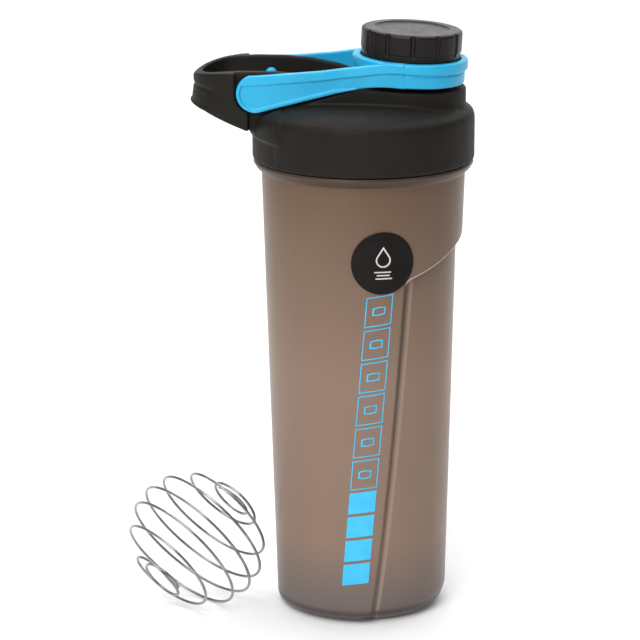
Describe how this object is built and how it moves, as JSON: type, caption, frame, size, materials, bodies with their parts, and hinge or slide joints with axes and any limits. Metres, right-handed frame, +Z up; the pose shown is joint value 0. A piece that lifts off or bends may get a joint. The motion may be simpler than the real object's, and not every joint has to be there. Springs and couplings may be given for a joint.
{
  "type": "shaker bottle",
  "caption": "Tapered translucent shaker bottle with screw lid, side carry loop, strap-held spout cap and loose wire mixer ball.",
  "frame": {"origin": "centre of the flat pad in the middle of the cup's base, level with the foot ring it stands on", "axes": "+Z up along the cup's axis; +X from the axis towards the drinking spout, the carry loop points to -X; +Y completes the right-handed frame"},
  "size_m": [0.1431, 0.0916, 0.2473],
  "materials": {
    "smoke_plastic": "translucent smoke grey, satin",
    "label_vinyl": "satin printed vinyl",
    "black_plastic": "fine moulded satin",
    "seal_rubber": "matte silicone",
    "blue_plastic": "satin, slightly soft",
    "cap_plastic": "semi gloss moulded",
    "steel_wire": "bright drawn wire"
  },
  "bodies": {
    "cup": {"cup": "smoke_plastic", "round_label": "label_vinyl"},
    "seal": {"lid_gasket": "seal_rubber"},
    "lid": {"lid_shell": "black_plastic"},
    "strap": {"carry_strap": "blue_plastic"},
    "cap": {"spout_cap": "cap_plastic", "cap_liner": "seal_rubber"},
    "ball": {"mixer_ball": "steel_wire"}
  },
  "joints": [
    {"name": "lid_rise", "type": "slide", "parent": "cup", "child": "seal", "axis": [0, 0, 1], "range_m": [0, 0.00625]},
    {"name": "lid_turn", "type": "hinge", "parent": "seal", "child": "lid", "pos_m": [0, 0, 0.2], "axis": [0, 0, 1], "range_deg": [0, 450]},
    {"name": "strap_swing", "type": "hinge", "parent": "lid", "child": "strap", "pos_m": [-0.0403, 0, 0.223], "axis": [0, -1, 0], "range_deg": [0, 92]},
    {"name": "cap_turn", "type": "hinge", "parent": "strap", "child": "cap", "pos_m": [0.0187, 0, 0.2231], "axis": [0.0523, 0, 0.9986], "range_deg": [0, 540]},
    {"name": "ball_lift", "type": "slide", "parent": "cup", "child": "ball", "axis": [0, 0, 1], "range_m": [0, 0.12]}
  ],
  "couplings": [
    {"joint": "lid_rise", "follows": "lid_turn", "m_per_rad": 0.00079577}
  ]
}
